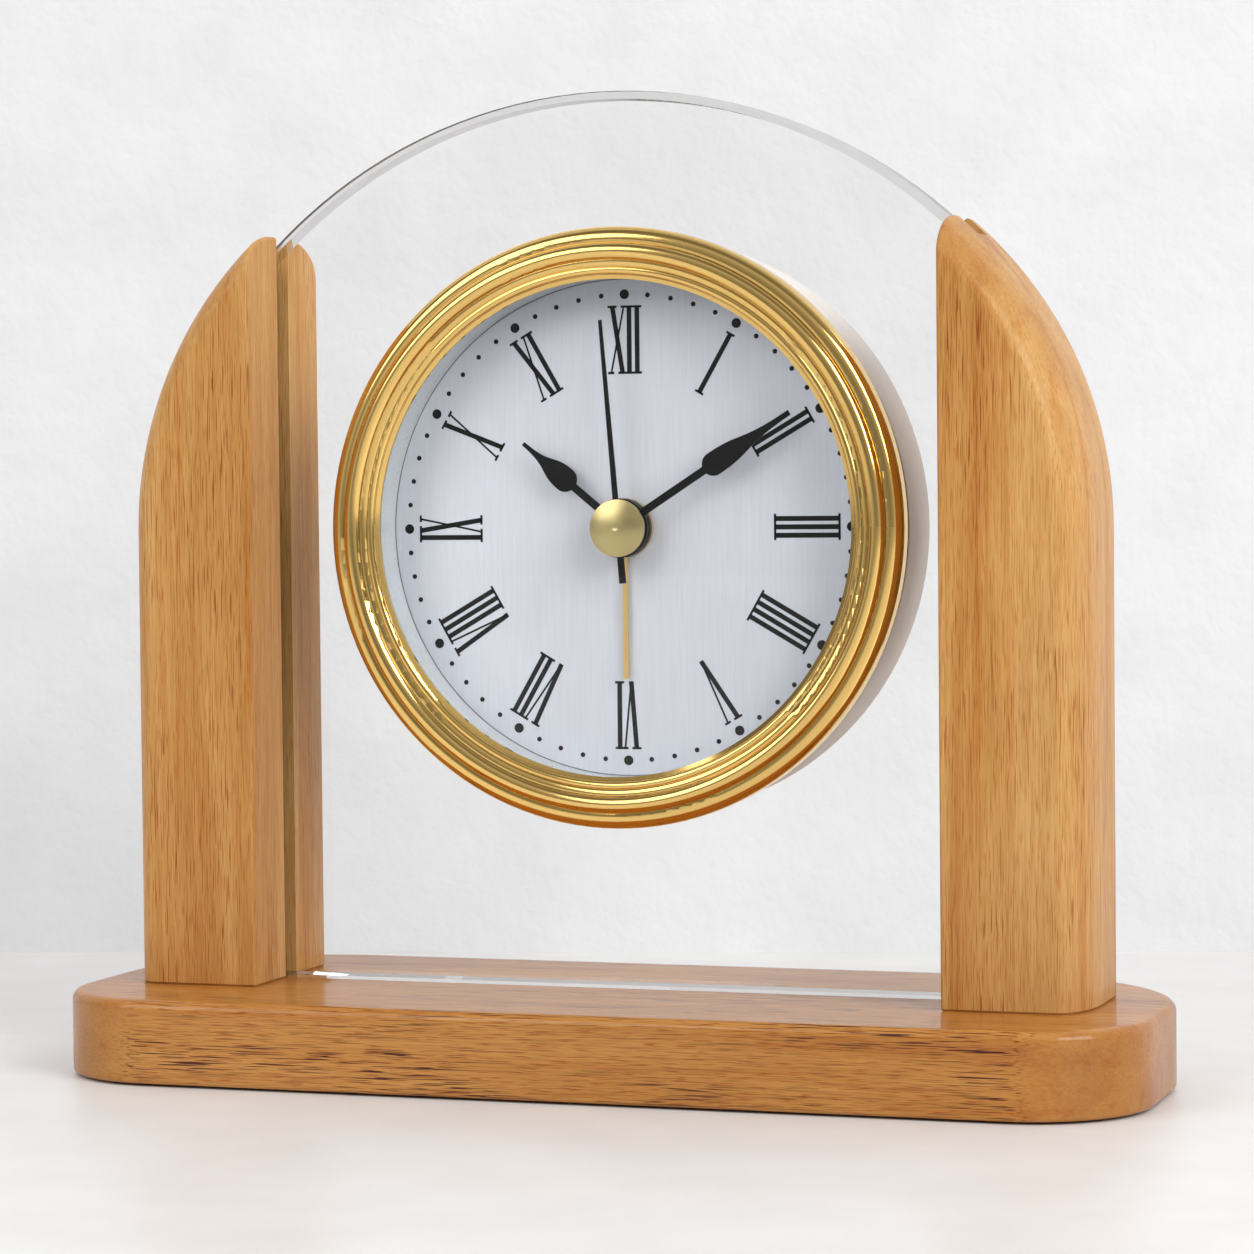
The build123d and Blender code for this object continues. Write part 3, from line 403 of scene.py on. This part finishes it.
looks = {
    wood_flat: ("base",),
    wood_upright: ("pillar_left", "pillar_right"),
    glass("panel_glass", (0.965, 0.975, 0.975, 1.0), edge_color=grey(0.66), ior=1.46): ("glass_panel",),
    glass("lens_clear", (0.995, 0.997, 0.997, 1.0), edge_color=grey(0.9), ior=1.3): ("lens",),
    bezel_brass: ("bezel",),
    metal("cap_brass", (0.53, 0.435, 0.2, 1.0), roughness=0.28, wear=1.2): ("centre_cap",),
    metal("alarm_brass", (0.80, 0.56, 0.21, 1.0), roughness=0.32, wear=1.2): ("alarm_hand",),
    brushed_dial("dial_silver"): ("dial",),
    moulded("reflector_grey", srgb(188, 193, 196), roughness=0.3): ("reflector_ring",),
    case_plastic: ("front_case", "rear_case", "battery_cover"),
    black_enamel: ("hour_hand", "minute_hand", "second_hand"),
    black_plastic: ("time_knob", "alarm_knob", "alarm_switch"),
    moulded("bridge_black", srgb(34, 34, 37), roughness=0.5): ("gear_bridge",),
    zinc: ("pillar_screws", "case_screws", "bridge_screws"),
    steel: ("battery_contacts", "clutch_spring", "stator"),
    metal("crystal_can", srgb(214, 212, 206), roughness=0.2): ("quartz_crystal",),
    metal("rotor_magnet", srgb(120, 120, 124), roughness=0.3): ("rotor",),
    acetal: ("second_wheel", "third_wheel", "centre_wheel", "step_wheel"),
    set_white: ("minute_pipe", "motion_wheel", "hour_wheel", "alarm_wheel"),
    rubber: ("front_gasket", "rear_gasket"),
    felt_cloth("felt", srgb(58, 50, 45)): ("felt_pads",),
    moulded("battery_wrap", srgb(58, 60, 66), roughness=0.28, grain=0.006 * MM): ("battery",),
    metal("buzzer_brass", (0.78, 0.56, 0.25, 1.0), roughness=0.3): ("buzzer",),
    wound_wire("coil_copper", srgb(184, 104, 58), pitch=0.25 * MM): ("coil",),
    circuit_green("board_green"): ("circuit_board",),
}
for material, node_names in looks.items():
    for node_name in node_names:
        nodes[node_name].data.materials.clear()
        nodes[node_name].data.materials.append(material)

# Dial print: flat shapes just in front of the dial


def bar(shapes, left, low, right, high):
    shapes.append(((left, low), (right, low), (right, high), (left, high)))


def slant(shapes, foot, head, width, low, high):
    half = width / 2
    shapes.append(((foot - half, low), (foot + half, low), (head + half, high), (head - half, high)))


def glyph_width(letter):
    return {"I": thick_stroke, "V": vee_width, "X": cross_width}[letter]


def letter_gap(first, second):
    return bar_pitch - thick_stroke if first == second == "I" else glyph_gap


def serif(shapes, middle, stroke, low):
    half = stroke / 2 + serif_overhang
    bar(shapes, middle - half, low, middle + half, low + serif_height)


def numeral_shapes(word):
    # Shapes of one numeral, upright and centred, from its foot circle to its head circle
    low = numeral_inner
    high = numeral_outer
    head = high - serif_height
    total = sum(glyph_width(letter) for letter in word)
    total += sum(letter_gap(first, second) for first, second in zip(word, word[1:]))
    left = -total / 2
    shapes = []
    for index, letter in enumerate(word):
        right = left + glyph_width(letter)
        middle = (left + right) / 2
        thick_left = left + thick_stroke / 2
        thick_right = right - thick_stroke / 2
        thin_left = left + thin_stroke / 2
        thin_right = right - thin_stroke / 2
        if letter == "I":
            bar(shapes, left, low, right, high)
            serif(shapes, middle, thick_stroke, low)
            serif(shapes, middle, thick_stroke, head)
        if letter == "V":
            slant(shapes, middle, thick_left, thick_stroke, low, high)
            slant(shapes, middle, thin_right, thin_stroke, low, high)
            serif(shapes, thick_left, thick_stroke, head)
            serif(shapes, thin_right, thin_stroke, head)
        if letter == "X":
            slant(shapes, thick_right, thick_left, thick_stroke, low, high)
            slant(shapes, thin_left, thin_right, thin_stroke, low, high)
            serif(shapes, thick_right, thick_stroke, low)
            serif(shapes, thick_left, thick_stroke, head)
            serif(shapes, thin_left, thin_stroke, low)
            serif(shapes, thin_right, thin_stroke, head)
        left = right
        if index + 1 < len(word):
            left += letter_gap(letter, word[index + 1])
    return shapes


def dot_shape(radius, center):
    points = []
    for step in range(dot_sides):
        angle = 2 * math.pi * step / dot_sides
        points.append((center[0] + radius * math.cos(angle), center[1] + radius * math.sin(angle)))
    return tuple(points)


def turned(point, degrees):
    # Turns a point clockwise about the dial's middle
    angle = math.radians(degrees)
    across = point[0] * math.cos(angle) + point[1] * math.sin(angle)
    up = -point[0] * math.sin(angle) + point[1] * math.cos(angle)
    return across, up


def print_object(name, shapes, material):
    vertices = []
    faces = []
    for shape in shapes:
        first = len(vertices)
        for across, up in shape:
            vertices.append((dial_x + across, dial_front - print_lift, dial_z + up))
        faces.append(tuple(range(first, first + len(shape))))
    mesh = bpy.data.meshes.new(name)
    mesh.from_pydata(vertices, [], faces)
    mesh.materials.append(material)
    made = bpy.data.objects.new(name, mesh)
    bpy.context.scene.collection.objects.link(made)
    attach(made, "stand")


ink = moulded("dial_ink", srgb(5, 5, 6), roughness=0.6, grain=0.002 * MM, specular=0.15)
shade = moulded("dial_edge_shade", srgb(112, 116, 122), roughness=0.6, grain=0.002 * MM)
numerals = ("XII", "I", "II", "III", "IIII", "V", "VI", "VII", "VIII", "IX", "X", "XI")
numeral_faces = []
for hour, word in enumerate(numerals):
    for shape in numeral_shapes(word):
        numeral_faces.append([turned(point, 30 * hour) for point in shape])
print_object("dial_numerals", numeral_faces, ink)
dot_faces = []
for minute in range(60):
    radius = minute_dot_radius if minute % 5 else hour_dot_radius
    dot_faces.append([turned(point, 6 * minute) for point in dot_shape(radius, (0.0, dot_circle))])
print_object("dial_dots", dot_faces, ink)

# Fine dark line where the dial meets its reflector ring
reflector_points = [vertex.co for vertex in nodes["reflector_ring"].data.vertices]
reflector_radius = min(abs(point.x - dial_x) for point in reflector_points if abs(point.z - dial_z) < MM)
edge_faces = []
edge_step = 360 / edge_sides
for side in range(edge_sides):
    inner = (0.0, reflector_radius - edge_line_width)
    outer = (0.0, reflector_radius)
    first = edge_step * side
    second = first + edge_step
    corners = ((inner, second), (inner, first), (outer, first), (outer, second))
    edge_faces.append([turned(point, angle) for point, angle in corners])
print_object("dial_edge_line", edge_faces, shade)

# Stage: a white table and a plastered wall


def stage_plane(name, corners, material):
    mesh = bpy.data.meshes.new(name)
    mesh.from_pydata(corners, [], [(0, 1, 2, 3)])
    mesh.materials.append(material)
    made = bpy.data.objects.new(name, mesh)
    bpy.context.scene.collection.objects.link(made)


table_material = moulded("table_white", srgb(238, 237, 236), roughness=0.36, grain_scale=900.0)
wall_material = moulded("wall_white", srgb(238, 239, 241), roughness=0.8, grain=0.8 * MM, grain_scale=330.0)
table_corners = (
    (-stage_half, -stage_half, 0),
    (stage_half, -stage_half, 0),
    (stage_half, stage_half, 0),
    (-stage_half, stage_half, 0),
)
stage_plane("table", table_corners, table_material)
# The wall and the table are clear from behind, so that the clock's back and underside can be seen
for material in (wall_material, table_material):
    tree = material.node_tree
    side = add(tree, "ShaderNodeNewGeometry")
    let_through(tree, tree.nodes["Principled BSDF"], side.outputs["Backfacing"], grey(1.0))
wall_angle = math.radians(wall_turn)
wall_along = Vector((math.cos(wall_angle), math.sin(wall_angle), 0))
wall_middle = Vector((-math.sin(wall_angle), math.cos(wall_angle), 0)) * wall_distance
wall_top = Vector((0, 0, 2 * stage_half))
wall_left = wall_middle - wall_along * stage_half
wall_right = wall_middle + wall_along * stage_half
stage_plane("wall", (wall_left, wall_right, wall_right + wall_top, wall_left + wall_top), wall_material)

# Light


def area_light(name, spot, size, power):
    lamp = bpy.data.lights.new(name, "AREA")
    lamp.shape = "SQUARE"
    lamp.size = size
    lamp.energy = power
    made = bpy.data.objects.new(name, lamp)
    made.location = spot
    direction = light_aim - Vector(spot)
    made.rotation_euler = direction.to_track_quat("-Z", "Y").to_euler()
    bpy.context.scene.collection.objects.link(made)


area_light("softbox", spot=(0.98, -0.58, 0.7), size=0.7, power=9.3)
area_light("fill", spot=(-0.7, -1.0, 0.75), size=0.8, power=5.2)

# Room: light from above, dimmer behind the viewer and where it is mirrored or seen through glass
world = bpy.data.worlds.new("room")
world.use_nodes = True
room = world.node_tree
ways = add(room, "ShaderNodeTexCoord")
split = add(room, "ShaderNodeSeparateXYZ")
room.links.new(ways.outputs["Generated"], split.inputs["Vector"])
height = ramp(room, split.outputs["Z"], ((0.0, grey(0.5)), (0.3, grey(0.75)), (0.85, grey(1.12))))
depth_share = add(room, "ShaderNodeMapRange")
depth_share.inputs["From Min"].default_value = -1.0
room.links.new(split.outputs["Y"], depth_share.inputs["Value"])
viewer_side = ramp(room, depth_share.outputs["Result"], ((0.05, grey(0.45)), (0.35, grey(1.0))))
path = add(room, "ShaderNodeLightPath")
brightness = multiply(room, height, viewer_side)
through_glass = ramp(room, path.outputs["Is Transmission Ray"], ((0.0, grey(1.0)), (1.0, grey(0.35))))
brightness = multiply(room, brightness, through_glass)
mirrored = ramp(room, depth_share.outputs["Result"], (
    (0.0, grey(0.3)),
    (0.14, grey(0.72)),
    (0.3, grey(0.18)),
    (0.5, grey(0.5)),
))
seen = add(room, "ShaderNodeMix", data_type="RGBA")
room.links.new(path.outputs["Is Glossy Ray"], seen.inputs["Factor"])
room.links.new(brightness, seen.inputs[mix_first])
room.links.new(mirrored, seen.inputs[mix_second])
room.links.new(seen.outputs[mix_result], room.nodes["Background"].inputs["Color"])
room.nodes["Background"].inputs["Strength"].default_value = room_strength
bpy.context.scene.world = world
bpy.context.scene.view_settings.view_transform = "Standard"

# Camera
turn = math.radians(camera_turn)
tilt = math.radians(camera_tilt)
roll = math.radians(camera_roll)
forward = Vector((-math.sin(turn) * math.cos(tilt), math.cos(turn) * math.cos(tilt), -math.sin(tilt)))
right = Vector((math.cos(turn), math.sin(turn), 0))
up = right.cross(forward)
rolled_right = right * math.cos(roll) + up * math.sin(roll)
rolled_up = up * math.cos(roll) - right * math.sin(roll)
camera_data = bpy.data.cameras.new("camera")
camera_data.sensor_width = sensor_width
camera_data.lens = sensor_width * focal_per_width
camera_data.clip_start = 0.01
camera = bpy.data.objects.new("camera", camera_data)
axes = Matrix((rolled_right, rolled_up, -forward)).transposed()
camera.matrix_world = Matrix.Translation(camera_spot) @ axes.to_4x4()
bpy.context.scene.collection.objects.link(camera)
bpy.context.scene.camera = camera
